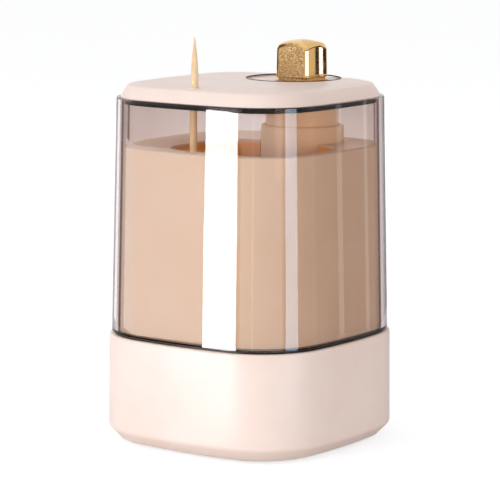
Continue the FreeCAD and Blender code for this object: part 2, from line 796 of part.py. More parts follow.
# ---------------------------------------------------------------- button
def button_cap():
    """Square metal knob with a crowned top, a narrower foot and a skirt down in the lid."""
    half_x = button_width / 2
    half_y = button_depth / 2
    cap = rounded_prism(button_x - half_x, button_x + half_x, button_y - half_y, button_y + half_y,
                        button_edge_round, button_foot_top, button_top)
    half_diagonal = math.hypot(half_x, half_y)
    crown_radius = (half_diagonal ** 2 + button_crown ** 2) / (2 * button_crown)
    cap = cap.common(Part.makeSphere(crown_radius, V(button_x, button_y, button_top - crown_radius)))
    foot = rounded_prism(button_x - half_x + button_foot_inset, button_x + half_x - button_foot_inset,
                         button_y - half_y + button_foot_inset, button_y + half_y - button_foot_inset,
                         button_edge_round, button_bottom, button_foot_top)
    cap = cap.fuse(foot)
    cap = cap.cut(rod(stem_radius + screw_hole_gap, button_bottom - over,
                      button_bottom + stem_in_button, button_x, button_y))
    return one_solid(cap)


def button_stem():
    """Round push rod whose ball end bears on the lever, grooved for its clip."""
    stem = rod(stem_radius, stem_ball_z, button_bottom + stem_in_button, button_x, button_y)
    stem = stem.fuse(Part.makeSphere(stem_radius, V(button_x, button_y, stem_ball_z)))
    groove = rod(stem_radius + over, tube_bottom - clip_thickness - clip_groove_gap, tube_bottom,
                 button_x, button_y)
    groove = groove.cut(rod(stem_radius - clip_groove_depth, tube_bottom - clip_thickness - over,
                            tube_bottom + over, button_x, button_y))
    return one_solid(stem.cut(groove))


def stem_clip():
    """Ring that stops the stem under the guide tube's web."""
    ring = rod(clip_radius, tube_bottom - clip_thickness, tube_bottom, button_x, button_y)
    return ring.cut(rod(stem_radius - clip_groove_depth + clip_groove_gap,
                        tube_bottom - clip_thickness - over, tube_bottom + over,
                        button_x, button_y)).Solids[0]


# ---------------------------------------------------------------- toothpick
def toothpick():
    """Round wooden pick: sharp above, with a blunt tapered foot in the lifter's cup."""
    shank_low = pick_bottom + pick_foot_length
    shank_high = pick_top - pick_tip_length
    foot = Part.makeCone(pick_foot_radius, pick_radius, pick_foot_length, V(0, pick_y, pick_bottom))
    shank = rod(pick_radius, shank_low, shank_high, 0, pick_y)
    tip = Part.makeCone(pick_radius, pick_tip_radius, pick_tip_length, V(0, pick_y, shank_high))
    return foot.fuse(shank).fuse(tip).Solids[0]


# ---------------------------------------------------------------- write every node
NODES = [base_shell, base_plate, base_screws, feet, lever_bracket, bracket_screws, pivot_pin,
         pivot_clip, lever, lever_spring, lifter, lifter_pin, sleeve_gasket, clear_sleeve,
         floor_plate, bin_shell, shell_screws, bin_ramp, lifter_guide, rod_housing, housing_screws,
         lid_shell, lid_seal, button_bezel, outlet_bush, guide_tube, guide_screws, button_spring,
         button_cap, button_stem, stem_clip, toothpick]

os.makedirs("parts", exist_ok=True)
for build in NODES:
    build().exportStep("parts/" + build.__name__ + ".step")
print("button travel %.3f mm, lever swing %.3f degrees, lifter stroke %.3f mm"
      % (button_travel, 2 * lever_tilt, lifter_stroke))
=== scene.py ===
import json
import math

import bmesh
import bpy
from mathutils import Euler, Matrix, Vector


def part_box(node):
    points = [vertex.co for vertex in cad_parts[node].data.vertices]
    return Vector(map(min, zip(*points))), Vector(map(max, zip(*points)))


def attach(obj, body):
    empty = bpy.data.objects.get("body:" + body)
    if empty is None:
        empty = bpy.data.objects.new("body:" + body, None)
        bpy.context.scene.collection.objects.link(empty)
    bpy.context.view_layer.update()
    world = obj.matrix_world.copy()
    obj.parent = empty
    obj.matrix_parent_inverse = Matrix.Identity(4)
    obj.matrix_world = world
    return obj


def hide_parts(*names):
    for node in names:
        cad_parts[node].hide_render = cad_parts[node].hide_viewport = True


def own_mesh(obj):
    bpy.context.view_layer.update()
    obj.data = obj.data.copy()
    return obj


# Press-button toothpick dispenser: detailed shells, finishes, springs, set and camera.
# Metres, in the frame's own axes: +Z is up, the front is -Y and the button stands towards +X.

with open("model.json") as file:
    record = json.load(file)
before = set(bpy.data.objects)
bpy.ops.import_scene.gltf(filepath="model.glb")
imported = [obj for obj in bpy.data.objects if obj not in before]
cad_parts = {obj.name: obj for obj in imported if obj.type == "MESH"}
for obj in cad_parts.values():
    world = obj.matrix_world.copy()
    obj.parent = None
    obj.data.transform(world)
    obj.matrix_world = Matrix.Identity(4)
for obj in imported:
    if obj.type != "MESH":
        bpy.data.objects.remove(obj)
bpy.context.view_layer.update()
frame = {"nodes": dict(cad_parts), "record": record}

MM = 0.001
QUARTER = math.pi / 2


# ---------- sizes
def low(node):
    """Near corner of a node's box."""
    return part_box(node)[0]


def high(node):
    """Far corner of a node's box."""
    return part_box(node)[1]


def middle(node):
    """Middle of a node's box."""
    return (low(node) + high(node)) / 2


over = 1.0 * MM  # how far a cutting tool reaches past what it cuts

# Small roundings
hairline = 0.05 * MM
crisp = 0.1 * MM
neat = 0.15 * MM
fine = 0.2 * MM
soft = 0.3 * MM

# Points round a circle
hole_points = 24
post_points = 32
outlet_points = 48
column_points = 96
disc_points = 128
pick_points = 28

# Read from the frame
body_reach = min(high("base_shell").x, high("base_shell").y)
base_bottom = low("base_shell").z
base_top = high("base_shell").z
plate_top = high("base_plate").z
plate_reach = high("base_plate").y
sleeve_bottom = low("clear_sleeve").z
sleeve_top = high("clear_sleeve").z
bin_floor = low("bin_shell").z
deck_top = high("bin_shell").z
guide_top = high("lifter_guide").z
housing_top = high("rod_housing").z
tube_bottom = low("guide_tube").z
tube_top = high("guide_tube").z
plug_bottom = low("lid_shell").z
lid_bottom = sleeve_top
lid_top = high("lid_shell").z
bezel_seat = low("button_bezel").z
bezel_top = high("button_bezel").z
bezel_radius = (high("button_bezel").x - low("button_bezel").x) / 2
bezel = middle("button_bezel")
button = middle("button_cap")
pick = middle("toothpick")

# Body outline
side_radius = 172.5 * MM
corner_radius = 22.5 * MM
core_reach = 20.0 * MM

# Base
base_rim_reach = body_reach - 0.26 * MM
base_wall = 2.6 * MM
base_deck = 2.0 * MM
base_chamfer_reach = body_reach - 3.5 * MM
base_chamfer_rise = 4.0 * MM
base_chamfer_foot = 0.45 * MM
base_chamfer_round = 2.0 * MM
base_foot_reach = body_reach - 5.0 * MM
base_foot_round = 0.5 * MM
base_top_round = 0.7 * MM
base_inner_round = 1.0 * MM
plate_gap = 0.3 * MM
base_boss_radius = 3.2 * MM
screw_hole = 1.12 * MM
screw_depth = 7.0 * MM
screw_head = 2.2 * MM
stem_room = 3.1 * MM
lifter_room = 2.05 * MM

# Sleeve and gasket
sleeve_foot_reach = body_reach - 1.04 * MM
sleeve_rim_reach = body_reach - 2.67 * MM
sleeve_wall = 2.0 * MM
sleeve_lip_width = 3.6 * MM
sleeve_lip = 0.45 * MM
sleeve_foot_round = 0.12 * MM
sleeve_rim_round = 0.35 * MM
gasket_inset = 0.65 * MM

# Bin shell
bin_gap = 0.55 * MM
bin_wall = 1.8 * MM
bin_skirt = 0.9 * MM
deck_thickness = 1.6 * MM
deck_round = 0.7 * MM
deck_under_round = 0.8 * MM
mouth_left = -14.5 * MM
mouth_right = body_reach - 9.0 * MM
mouth_front = pick.y + 0.5 * MM
mouth_back = button.y - 7.0 * MM
mouth_corner = 12.0 * MM
mouth_wall = 1.6 * MM
mouth_soft = 0.5 * MM
guide_room = 4.1 * MM
slot_soft = 0.4 * MM
shell_boss_radius = 3.0 * MM
shell_boss_height = 11.0 * MM

# Column: housing and guide tube
housing_radius = 12.25 * MM
housing_bore = 7.0 * MM
housing_hole_gap = 0.15 * MM
housing_round = 0.7 * MM
socket_radius = 10.95 * MM
socket_floor = tube_bottom - 0.4 * MM
housing_screw_ring = 9.6 * MM
tube_radius = 10.7 * MM
tube_bore = 8.8 * MM
tube_round = 0.5 * MM
tube_bore_round = 0.4 * MM
tube_web_top = tube_bottom + 2.5 * MM
stem_bore = 2.6 * MM
ear_reach = 16.5 * MM
ear_half_width = 5.0 * MM
ear_thickness = 1.5 * MM
ear_screw_reach = 13.7 * MM
ear_screw_hole = 0.92 * MM
ear_screw_depth = 1.8 * MM

# Lid
lid_foot_reach = body_reach - 3.7 * MM
lid_cheek_reach = body_reach - 4.75 * MM
lid_cheek = lid_top - 2.5 * MM
lid_cheek_round = 3.0 * MM
lid_brow_reach = body_reach - 6.15 * MM
lid_brow = lid_top - 0.7 * MM
lid_brow_round = 0.9 * MM
lid_flat_reach = body_reach - 9.0 * MM
lid_flat = lid_top - 0.12 * MM
lid_flat_round = 9.0 * MM
lid_under = lid_top - 2.7 * MM
plug_reach = body_reach - 6.82 * MM
plug_wall = 1.0 * MM
pad_reach = 15.6 * MM
pad_right = button.x + 16.0 * MM
bezel_gap = 0.3 * MM
bezel_round = 0.25 * MM
bezel_core = 5.0 * MM
bezel_hole_soft = 0.12 * MM
# A black ring that stands in for the shaded edge of the bezel recess: painted shade.
bezel_shade_ring_width = 0.3 * MM
bezel_shade_ring_depth = 0.2 * MM
bezel_shade_ring_rise = 0.16 * MM
bezel_shade_ring_round = 0.08 * MM
seal_inset = 0.1 * MM
seal_gap = 0.25 * MM
outlet_radius = 1.8 * MM
outlet_bore = 1.3 * MM
outlet_flange = 2.6 * MM
outlet_flange_height = 0.9 * MM
outlet_flange_gap = 0.5 * MM

# Knob
knob_half_x = (high("button_cap").x - low("button_cap").x) / 2
knob_half_y = (high("button_cap").y - low("button_cap").y) / 2
knob_foot_top = lid_top + 0.5 * MM
knob_bead = 0.85 * MM
knob_bead_reach = 0.15 * MM
knob_bead_round = 0.42 * knob_bead
knob_side_radius = 90.0 * MM
knob_face_inset = 0.08 * MM
knob_draft = 0.15 * MM
knob_top = high("button_cap").z
knob_crown = 2.1 * MM
knob_soft = 1.4 * MM
knob_edge_round = 1.35 * MM
knob_foot_inset = 0.6 * MM
knob_hole_gap = 0.25 * MM
knob_hole_corner = 1.0 * MM
knob_bore = 2.52 * MM
knob_bore_depth = 5.0 * MM

# Pick
pick_end_radius = 0.3 * MM
pick_blunt_radius = 0.45 * MM
pick_blunt_height = 0.15 * MM
pick_swell_height = 6.0 * MM
pick_point_length = 10.5 * MM
pick_point_power = 1.35
pick_point_radius = 0.1 * MM
pick_tip_radius = 0.04 * MM


def sleeve_outer(z):
    """The sleeve narrows evenly upwards."""
    share = (z - sleeve_bottom) / (sleeve_top - sleeve_bottom)
    return sleeve_foot_reach + share * (sleeve_rim_reach - sleeve_foot_reach)


def bin_outer(z):
    """The bin shell stands off the sleeve all the way up."""
    return sleeve_outer(z) - sleeve_wall - bin_gap


def corners_of(node, margin):
    """Plan centres of what stands in the four corners of a node's box."""
    near, far = low(node), high(node)
    return [(x, y) for x in (near.x + margin, far.x - margin)
            for y in (near.y + margin, far.y - margin)]


base_screws = corners_of("base_screws", screw_head)
shell_screws = [(x, y) for x, y in corners_of("shell_screws", screw_head) if x < 0 or y > 0]
ear_screws = [(button.x + side * ear_screw_reach, button.y) for side in (-1, 1)]
button_place = [(button.x, button.y)]
pick_place = [(pick.x, pick.y)]


# ---------- outlines and profiles
def arc(centre, radius, start, end, steps):
    """Points along an arc in plan, its last one left out."""
    points = []
    for step in range(steps):
        angle = start + (end - start) * step / steps
        points.append((centre[0] + radius * math.cos(angle), centre[1] + radius * math.sin(angle)))
    return points


def bowed_square(half, bow_radius, round_radius, side_steps, corner_steps):
    """outline(reach): a square with bowed sides and round corners, moved to that half width."""
    back = bow_radius - half
    span = bow_radius - round_radius
    corner = (math.sqrt(2 * span ** 2 - back ** 2) - back) / 2
    join = math.atan2(corner, corner + back)

    def outline(reach):
        inset = half - reach
        side = arc((-back, 0), bow_radius - inset, -join, join, side_steps)
        bend = arc((corner, corner), round_radius - inset, join, QUARTER - join, corner_steps)
        points = []
        for c, s in ((1, 0), (0, 1), (-1, 0), (0, -1)):
            points += [(x * c - y * s, x * s + y * c) for x, y in side + bend]
        return points
    return outline


def block(x0, x1, y0, y1, corner, steps=12):
    """outline(reach): a rectangle with round corners, moved outwards by reach."""
    def outline(reach):
        centres = ((x1 - corner, y0 + corner), (x1 - corner, y1 - corner),
                   (x0 + corner, y1 - corner), (x0 + corner, y0 + corner))
        points = []
        for number, centre in enumerate(centres):
            start = (number - 1) * QUARTER
            end = start + QUARTER * (1 + 1 / steps)
            points += arc(centre, corner + reach, start, end, steps + 1)
        return points
    return outline


def circle(x, y, steps):
    """outline(reach): a circle of radius reach."""
    return lambda reach: arc((x, y), reach, 0, 4 * QUARTER, steps)


body_outline = bowed_square(body_reach, side_radius, corner_radius, 14, 28)
column_outline = circle(button.x, button.y, column_points)
disc_outline = circle(bezel.x, bezel.y, disc_points)
outlet_outline = circle(pick.x, pick.y, outlet_points)
housing_screws = arc((button.x, button.y), housing_screw_ring, QUARTER, 5 * QUARTER, 3)


def softened(corners, closed=True, steps=6):
    """The (reach, z) points of a profile whose corners (reach, z, radius) are rounded off."""
    points = []
    for number, (reach, z, radius) in enumerate(corners):
        here = Vector((reach, z))
        at_end = not closed and number in (0, len(corners) - 1)
        if radius == 0 or at_end:
            points.append(tuple(here))
            continue
        to_before = (Vector(corners[number - 1][:2]) - here).normalized()
        to_after = (Vector(corners[(number + 1) % len(corners)][:2]) - here).normalized()
        half_angle = to_before.angle(to_after) / 2
        centre = here + (to_before + to_after).normalized() * (radius / math.sin(half_angle))
        first = here + to_before * (radius / math.tan(half_angle)) - centre
        last = here + to_after * (radius / math.tan(half_angle)) - centre
        start = math.atan2(first.y, first.x)
        turn = math.remainder(math.atan2(last.y, last.x) - start, 4 * QUARTER)
        for step in range(steps + 1):
            angle = start + turn * step / steps
            x = centre.x + radius * math.cos(angle)
            points.append((x, centre.y + radius * math.sin(angle)))
    return points


# ---------- making and cutting pieces
def object_of(name, form):
    """Object with the mesh of this form, its faces turned outwards."""
    bmesh.ops.recalc_face_normals(form, faces=form.faces)
    mesh = bpy.data.meshes.new(name)
    form.to_mesh(mesh)
    form.free()
    piece = bpy.data.objects.new(name, mesh)
    bpy.context.scene.collection.objects.link(piece)
    return piece


def band(form, ring, following):
    """Faces between two rings of as many points."""
    for number in range(len(ring)):
        after = (number + 1) % len(ring)
        form.faces.new((ring[number], ring[after], following[after], following[number]))


def skin(name, outline, profile, closed=False):
    """Solid through the outline at each point of the profile. A closed profile makes a ring,
    and an open one is shut by flat ends."""
    form = bmesh.new()
    rings = [[form.verts.new((x, y, z)) for x, y in outline(reach)] for reach, z in profile]
    for ring, following in zip(rings, rings[1:]):
        band(form, ring, following)
    if closed:
        band(form, rings[-1], rings[0])
    else:
        form.faces.new(rings[0])
        form.faces.new(rings[-1])
    return object_of(name, form)


def bar(outline, reach, z0, z1):
    """Plain upright tool."""
    return skin("tool", outline, [(reach, z0), (reach, z1)])


def opening(outline, reach, z0, rim, radius):
    """Tool for a hole through a top face at rim, which it leaves with an edge of this radius."""
    profile = [(reach, z0)]
    for step in range(7):
        angle = QUARTER * step / 6
        aside = radius * (1 - math.cos(angle))
        profile.append((reach + aside, rim - radius * (1 - math.sin(angle))))
    profile.append((reach + radius, rim + over))
    return skin("tool", outline, profile)


def carve(piece, tool, operation="DIFFERENCE"):
    """Cuts the tool from the piece, or joins it on, and clears the tool away."""
    step = piece.modifiers.new("carve", "BOOLEAN")
    step.operation = operation
    step.solver = "EXACT"
    step.object = tool
    bpy.context.view_layer.update()
    ready = piece.evaluated_get(bpy.context.evaluated_depsgraph_get())
    mesh = bpy.data.meshes.new_from_object(ready)
    piece.modifiers.clear()
    old, piece.data = piece.data, mesh
    mesh.name = piece.name
    tool_mesh = tool.data
    bpy.data.objects.remove(tool)
    bpy.data.meshes.remove(tool_mesh)
    bpy.data.meshes.remove(old)


def post(piece, x, y, radius, z0, z1):
    """Joins a round post on."""
    carve(piece, bar(circle(x, y, post_points), radius, z0, z1), "UNION")


def drill(piece, places, radius, z0, z1, points=hole_points):
    """Cuts a round hole at each place."""
    for x, y in places:
        carve(piece, bar(circle(x, y, points), radius, z0, z1))


def dress(piece, body, slot, *nodes, sharp=35):
    """Shades the piece, gives it its finish and sets it on its body in place of the nodes."""
    mesh = piece.data
    mesh.shade_smooth()
    mesh.set_sharp_from_angle(angle=math.radians(sharp))
    even = piece.modifiers.new("even shading", "WEIGHTED_NORMAL")
    even.keep_sharp = True
    even.weight = 100
    mesh.materials.clear()
    mesh.materials.append(finishes[slot])
    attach(piece, body)
    if nodes:
        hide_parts(*nodes)
    return piece


# ---------- finishes
def shade(red, green, blue):
    """Screen colour from 0 to 255 as the linear colour that shaders take."""
    linear = []
    for value in (red, green, blue):
        value /= 255
        linear.append(value / 12.92 if value <= 0.04045 else ((value + 0.055) / 1.055) ** 2.4)
    return (*linear, 1.0)


def new_group(name, inputs, outputs):
    """Shader group with number inputs {name: default} and number outputs."""
    group = bpy.data.node_groups.new(name, "ShaderNodeTree")
    for label, value in inputs.items():
        socket = group.interface.new_socket(label, in_out="INPUT", socket_type="NodeSocketFloat")
        socket.default_value = value
    for label in outputs:
        group.interface.new_socket(label, in_out="OUTPUT", socket_type="NodeSocketFloat")
    return group, group.nodes.new("NodeGroupInput"), group.nodes.new("NodeGroupOutput")


def noise(tree, scale, detail, vector, roughness=0.5):
    """Noise node whose scale is a number or a socket."""
    node = tree.nodes.new("ShaderNodeTexNoise")
    node.inputs["Detail"].default_value = detail
    node.inputs["Roughness"].default_value = roughness
    tree.links.new(vector, node.inputs["Vector"])
    if isinstance(scale, (int, float)):
        node.inputs["Scale"].default_value = scale
    else:
        tree.links.new(scale, node.inputs["Scale"])
    return node.outputs["Fac"]


def spread(tree, socket, start, end, first=0.0, last=1.0):
    """Maps first..last of a socket onto start..end."""
    node = tree.nodes.new("ShaderNodeMapRange")
    limits = {"From Min": first, "From Max": last, "To Min": start, "To Max": end}
    for label, value in limits.items():
        node.inputs[label].default_value = value
    tree.links.new(socket, node.inputs["Value"])
    return node.outputs["Result"]


def sum_up(tree, operation, *terms):
    """Math node on sockets or numbers."""
    node = tree.nodes.new("ShaderNodeMath")
    node.operation = operation
    for place, term in zip(node.inputs, terms):
        if isinstance(term, (int, float)):
            place.default_value = term
        else:
            tree.links.new(term, place)
    return node.outputs[0]


def object_place(tree, stretch=(1, 1, 1)):
    """Object coordinates, squeezed along each axis by stretch."""
    source = tree.nodes.new("ShaderNodeTexCoord")
    mapping = tree.nodes.new("ShaderNodeMapping")
    mapping.inputs["Scale"].default_value = stretch
    tree.links.new(source.outputs["Object"], mapping.inputs["Vector"])
    return mapping.outputs["Vector"]


def moulded_group():
    """Moulded plastic: fine grain as Height and slow cloudiness as Tone."""
    given_values = {"Grain": 3000, "Cloud": 40}
    group, given, put = new_group("moulded surface", given_values, ("Height", "Tone"))
    place = object_place(group)
    grain = noise(group, given.outputs["Grain"], 2, place)
    slow = noise(group, given.outputs["Cloud"], 3, place)
    group.links.new(grain, put.inputs["Height"])
    group.links.new(spread(group, slow, 0, 1, 0.35, 0.65), put.inputs["Tone"])
    return group


def scuff_group():
    """Light traces of handling: soft smudges broken by short hairlines, as Mask."""
    given_values = {"Smudge": 60, "Hairline": 900}
    group, given, put = new_group("handling traces", given_values, ("Mask",))
    smudge = noise(group, given.outputs["Smudge"], 4, object_place(group), 0.6)
    scratch = noise(group, given.outputs["Hairline"], 2, object_place(group, (1, 1, 0.06)))
    cloudy = spread(group, smudge, 0, 0.8, 0.42, 0.68)
    thin = spread(group, scratch, 0, 0.35, 0.62, 0.7)
    group.links.new(sum_up(group, "ADD", cloudy, thin), put.inputs["Mask"])
    return group


def edge_wear_and_sheen_group():
    """Mask for rubbed edges and painted sheen on them, from how sharply the surface turns, broken
    up by noise.
    """
    given_values = {"Start": 0.52, "Full": 0.6, "Grain": 700}
    group, given, put = new_group("edge wear and painted sheen", given_values, ("Mask",))
    geometry = group.nodes.new("ShaderNodeNewGeometry")
    edge = group.nodes.new("ShaderNodeMapRange")
    group.links.new(geometry.outputs["Pointiness"], edge.inputs["Value"])
    group.links.new(given.outputs["Start"], edge.inputs["From Min"])
    group.links.new(given.outputs["Full"], edge.inputs["From Max"])
    broken = spread(group, noise(group, given.outputs["Grain"], 3, object_place(group)), 0.3, 1)
    group.links.new(sum_up(group, "MULTIPLY", edge.outputs["Result"], broken), put.inputs["Mask"])
    return group


# Tints of the clear plastic from seen square-on (0) to seen edge-on (1). The deeper slanted tint is
# partly real absorption and partly painted shade; the near-black and grey bands beyond it are
# painted dark reflections near the edges.
square_on_tint = (0.76, 0.68, 0.655, 1.0)
aslant_tint = (0.62, 0.52, 0.49, 1.0)
tints_and_painted_edge_bands = [(0.0, square_on_tint), (0.33, square_on_tint),
               (0.42, aslant_tint), (0.53, aslant_tint),
               (0.555, (0.06, 0.02, 0.015, 1.0)), (0.60, (0.07, 0.028, 0.02, 1.0)),
               (0.62, (0.48, 0.40, 0.39, 1.0)), (0.69, (0.46, 0.40, 0.40, 1.0)),
               (0.75, (0.24, 0.22, 0.24, 1.0)), (0.97, (0.16, 0.14, 0.16, 1.0))]
white = (1.0, 1.0, 1.0, 1.0)
black = (0.0, 0.0, 0.0, 1.0)

moulded = moulded_group()
scuffed = scuff_group()
edge_wear_and_sheen = edge_wear_and_sheen_group()


def new_finish(name):
    """Material with one Principled shader."""
    material = bpy.data.materials.new(name)
    material.use_nodes = True
    tree = material.node_tree
    tree.nodes.clear()
    output = tree.nodes.new("ShaderNodeOutputMaterial")
    shader = tree.nodes.new("ShaderNodeBsdfPrincipled")
    tree.links.new(shader.outputs[0], output.inputs["Surface"])
    return material, tree, shader


def placed(tree, group, **values):
    """Group node in a material, with its own values."""
    node = tree.nodes.new("ShaderNodeGroup")
    node.node_tree = group
    for label, value in values.items():
        node.inputs[label].default_value = value
    return node.outputs


def blended(tree, mask, first, second):
    """Colour that runs from first to second (colours or sockets) as mask goes from 0 to 1."""
    node = tree.nodes.new("ShaderNodeMix")
    node.data_type = "RGBA"
    tree.links.new(mask, node.inputs["Factor"])
    for label, colour in (("A", first), ("B", second)):
        place = [s for s in node.inputs if s.name == label and s.type == "RGBA"][0]
        if isinstance(colour, tuple):
            place.default_value = colour
        else:
            tree.links.new(colour, place)
    return [s for s in node.outputs if s.type == "RGBA"][0]


def seen_by(tree, *rays):
    """Mask that is 1 for any of these kinds of ray."""
    path = tree.nodes.new("ShaderNodeLightPath")
    mask = path.outputs[rays[0]]
    for ray in rays[1:]:
        mask = sum_up(tree, "MAXIMUM", mask, path.outputs[ray])
    return mask


def raised(tree, shader, height, distance, strength=1.0):
    """Bump on the shader's normal: height 0 to 1 over this distance."""
    node = tree.nodes.new("ShaderNodeBump")
    node.inputs["Distance"].default_value = distance
    node.inputs["Strength"].default_value = strength
    tree.links.new(height, node.inputs["Height"])
    tree.links.new(node.outputs["Normal"], shader.inputs["Normal"])


def split_axes(tree, vector):
    """X, Y and Z of a vector socket."""
    axes = tree.nodes.new("ShaderNodeSeparateXYZ")
    tree.links.new(vector, axes.inputs[0])
    return axes.outputs


def painted_column_light(tree):
    """Mask for painted light: 1 on the column round the button's rod, which gets a paler tan as if
    it were lit more.
    """
    axes = split_axes(tree, object_place(tree))
    asides = [sum_up(tree, "SUBTRACT", axes[axis], place)
              for axis, place in (("X", button.x), ("Y", button.y))]
    squares = [sum_up(tree, "MULTIPLY", aside, aside) for aside in asides]
    radius = sum_up(tree, "SQRT", sum_up(tree, "ADD", *squares))
    return spread(tree, radius, 1, 0, housing_radius + 0.02 * MM, housing_radius + 0.1 * MM)


def painted_bin_shade(tree):
    """Mask for painted shade: 1 in the bin, below its mouth, where a deeper orange stands in for
    its shade and warm bounce light.
    """
    axes = split_axes(tree, object_place(tree))
    parts = []
    for axis, start, end in (("X", mouth_left, mouth_right), ("Y", mouth_front, mouth_back)):
        aside = sum_up(tree, "SUBTRACT", axes[axis], (start + end) / 2)
        share = sum_up(tree, "ABSOLUTE", sum_up(tree, "DIVIDE", aside, (end - start) / 2))
        parts.append(sum_up(tree, "POWER", share, 4))
    within = spread(tree, sum_up(tree, "ADD", *parts), 1, 0, 1.06, 1.12)
    below = spread(tree, axes["Z"], 1, 0, deck_top - 1.2 * MM, deck_top - 0.2 * MM)
    return sum_up(tree, "MULTIPLY", within, below)


def moulded_plastic(name, pale, deep, smooth, rough, grain, grain_depth, gloss=0.5,
                    bin_shade_colour=None, column_light_colour=None):
    """Opaque moulded plastic, cloudy between two close colours, with a painted deeper orange shade
    in the bin and painted light, a paler tan, on the column where these are given."""
    material, tree, shader = new_finish(name)
    surface = placed(tree, moulded, Grain=grain, Cloud=45)
    traces = placed(tree, scuffed, Smudge=70, Hairline=1100)
    edges = placed(tree, edge_wear_and_sheen, Start=0.53, Full=0.62, Grain=900)
    body_colour = blended(tree, surface["Tone"], deep, pale)
    colour = blended(tree, sum_up(tree, "MULTIPLY", edges["Mask"], 0.25), body_colour, pale)
    # Painted shade: a deeper orange inside the bin.
    if bin_shade_colour:
        colour = blended(tree, painted_bin_shade(tree), colour, bin_shade_colour)
    # Painted light: a paler tan on the column.
    if column_light_colour:
        colour = blended(tree, painted_column_light(tree), colour, column_light_colour)
    tree.links.new(colour, shader.inputs["Base Color"])
    tree.links.new(spread(tree, traces["Mask"], smooth, rough), shader.inputs["Roughness"])
    shader.inputs["Specular IOR Level"].default_value = gloss
    raised(tree, shader, surface["Height"], grain_depth)
    return material


def clear_plastic():
    """Smoky clear plastic, deeper where it is seen edge-on, with painted dark reflection bands near
    its edges, that lets lamps through.
    """
    material, tree, shader = new_finish("smoky clear plastic")
    edge_on = tree.nodes.new("ShaderNodeLayerWeight")
    edge_on.inputs["Blend"].default_value = 0.5
    tint_and_painted_bands = tree.nodes.new("ShaderNodeValToRGB")
    while len(tint_and_painted_bands.color_ramp.elements) < len(tints_and_painted_edge_bands):
        tint_and_painted_bands.color_ramp.elements.new(0.5)
    for stop, (place, colour) in zip(tint_and_painted_bands.color_ramp.elements, tints_and_painted_edge_bands):
        stop.position = place
        stop.color = colour
    tree.links.new(edge_on.outputs["Facing"], tint_and_painted_bands.inputs["Fac"])
    tree.links.new(tint_and_painted_bands.outputs["Color"], shader.inputs["Base Color"])
    shader.inputs["Transmission Weight"].default_value = 1.0
    shader.inputs["IOR"].default_value = 1.3
    traces = placed(tree, scuffed, Smudge=25, Hairline=500)
    tree.links.new(spread(tree, traces["Mask"], 0.0, 0.02), shader.inputs["Roughness"])
    ripple = noise(tree, 30, 1, object_place(tree, (1, 1, 0.35)))
    raised(tree, shader, ripple, 0.08 * MM, 0.3)
    passing = tree.nodes.new("ShaderNodeBsdfTransparent")
    passing.inputs["Color"].default_value = (0.985, 0.97, 0.965, 1.0)
    mix = tree.nodes.new("ShaderNodeMixShader")
    tree.links.new(seen_by(tree, "Is Shadow Ray", "Is Diffuse Ray"), mix.inputs[0])
    tree.links.new(shader.outputs[0], mix.inputs[1])
    tree.links.new(passing.outputs[0], mix.inputs[2])
    tree.links.new(mix.outputs[0], tree.nodes["Material Output"].inputs["Surface"])
    return material


def black_rubber():
    """Dull black rubber with a fine skin."""
    material, tree, shader = new_finish("black rubber")
    surface = placed(tree, moulded, Grain=5000, Cloud=120)
    shader.inputs["Specular IOR Level"].default_value = 0.12
    tree.links.new(blended(tree, surface["Tone"], shade(9, 7, 7), shade(24, 20, 20)),
                   shader.inputs["Base Color"])
    tree.links.new(spread(tree, surface["Height"], 0.22, 0.42), shader.inputs["Roughness"])
    raised(tree, shader, surface["Height"], 0.01 * MM)
    return material


def gold_metal():
    """Polished gold plate, glittering on the faces that look to the front and the back, with
    lighter edges and bead that are partly wear and partly a painted highlight.
    """
    material, tree, shader = new_finish("gold plate")
    shader.inputs["Metallic"].default_value = 1.0
    edges = placed(tree, edge_wear_and_sheen, Start=0.52, Full=0.58, Grain=1500)
    traces = placed(tree, scuffed, Smudge=300, Hairline=2500)
    source = tree.nodes.new("ShaderNodeTexCoord")
    axes = split_axes(tree, source.outputs["Normal"])
    ahead = spread(tree, sum_up(tree, "ABSOLUTE", axes["Y"]), 0, 1, 0.5, 0.7)
    square_on = spread(tree, sum_up(tree, "ABSOLUTE", axes["X"]), 1, 0, 0.07, 0.13)
    facing = sum_up(tree, "MULTIPLY", ahead, square_on)
    fleck = noise(tree, 3300, 1, object_place(tree), 0.7)
    glitter = sum_up(tree, "MULTIPLY", facing, spread(tree, fleck, 0, 1, 0.45, 0.68))
    plate = blended(tree, facing, shade(240, 196, 128), shade(184, 132, 68))
    gold = blended(tree, glitter, plate, shade(255, 240, 196))
    # Lighter gold on the edges and the bead: partly wear, partly a painted highlight.
    colour = blended(tree, edges["Mask"], gold, shade(255, 226, 166))
    tree.links.new(colour, shader.inputs["Base Color"])
    smooth = spread(tree, traces["Mask"], 0.04, 0.1)
    rough = sum_up(tree, "MULTIPLY", facing, 0.24)
    tree.links.new(sum_up(tree, "ADD", smooth, rough), shader.inputs["Roughness"])
    raised(tree, shader, glitter, 0.02 * MM)
    return material


def steel():
    """Bright drawn steel, with fine lines along it."""
    material, tree, shader = new_finish("bright steel")
    shader.inputs["Metallic"].default_value = 1.0
    lines = noise(tree, 2500, 2, object_place(tree, (1, 1, 0.08)))
    tree.links.new(blended(tree, lines, shade(188, 189, 190), shade(226, 226, 224)),
                   shader.inputs["Base Color"])
    tree.links.new(spread(tree, lines, 0.18, 0.42), shader.inputs["Roughness"])
    raised(tree, shader, lines, 0.01 * MM)
    return material


